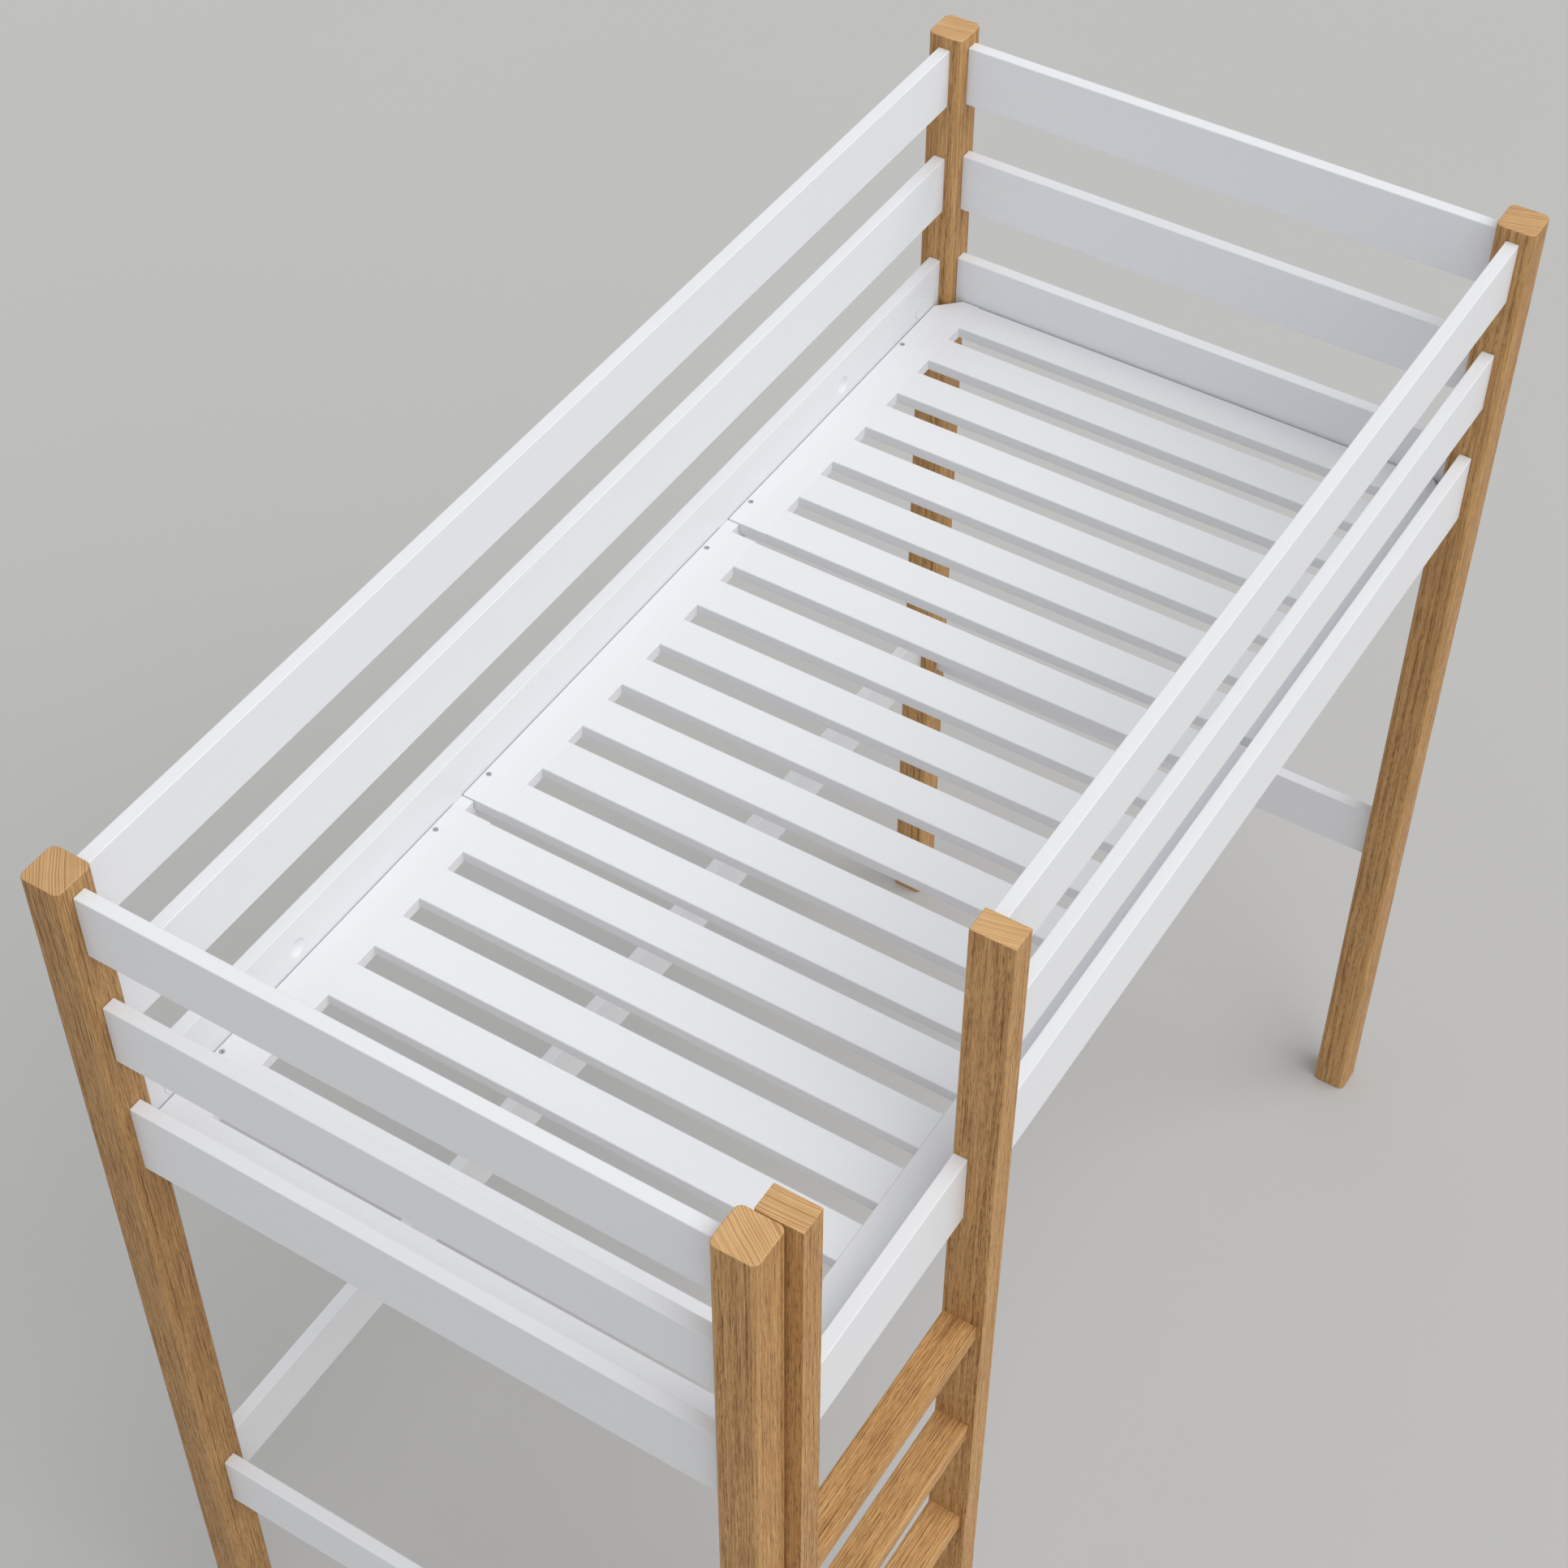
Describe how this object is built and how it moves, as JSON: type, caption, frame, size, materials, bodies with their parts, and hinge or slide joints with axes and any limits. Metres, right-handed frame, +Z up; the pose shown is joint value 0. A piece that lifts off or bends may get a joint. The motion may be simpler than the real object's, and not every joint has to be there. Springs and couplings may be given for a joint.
{
  "type": "high bed",
  "caption": "High bed with square oak posts, white guard boards, a slatted base in panels and an upright ladder built into the front beside a corner post.",
  "frame": {"origin": "on the floor, under the middle of the bed's posts", "axes": "+X along the bed to the far end, +Y to the wall side, +Z up; the ladder is on the -Y side near the -X end"},
  "size_m": [2.08, 0.9988, 1.952],
  "materials": {
    "oak": "oiled oak, open grain, satin",
    "painted_wood": "satin white paint over wood, faint grain",
    "dowel_wood": "plain beech",
    "zinc": "zinc plated",
    "cap_plastic": "white, smooth"
  },
  "bodies": {
    "root": {"post_near_wall": "oak", "post_near_front": "oak", "post_far_wall": "oak", "post_far_front": "oak", "near_end_board_top": "painted_wood", "near_end_board_middle": "painted_wood", "near_end_board_low": "painted_wood", "far_end_board_top": "painted_wood", "far_end_board_middle": "painted_wood", "far_end_board_low": "painted_wood", "wall_board_top": "painted_wood", "wall_board_middle": "painted_wood", "wall_board_low": "painted_wood", "front_board_top": "painted_wood", "front_board_middle": "painted_wood", "front_board_low": "painted_wood", "ladder_gap_board": "painted_wood", "near_end_stretcher": "painted_wood", "far_end_stretcher": "painted_wood", "wall_stretcher": "painted_wood", "ladder_upright_near": "oak", "ladder_upright_far": "oak", "rung_1": "oak", "rung_2": "oak", "rung_3": "oak", "rung_4": "oak", "rung_5": "oak", "wall_ledger": "painted_wood", "front_ledger": "painted_wood", "spacer_blocks": "painted_wood", "near_panel_wall_stile": "painted_wood", "near_panel_front_stile": "painted_wood", "near_panel_slats": "painted_wood", "middle_panel_wall_stile": "painted_wood", "middle_panel_front_stile": "painted_wood", "middle_panel_slats": "painted_wood", "far_panel_wall_stile": "painted_wood", "far_panel_front_stile": "painted_wood", "far_panel_slats": "painted_wood", "dowels": "dowel_wood", "cam_housings": "zinc", "cam_bolts": "zinc", "cover_caps": "cap_plastic", "panel_screws": "zinc", "ledger_screws": "zinc", "upright_screws": "zinc"}
  },
  "joints": []
}
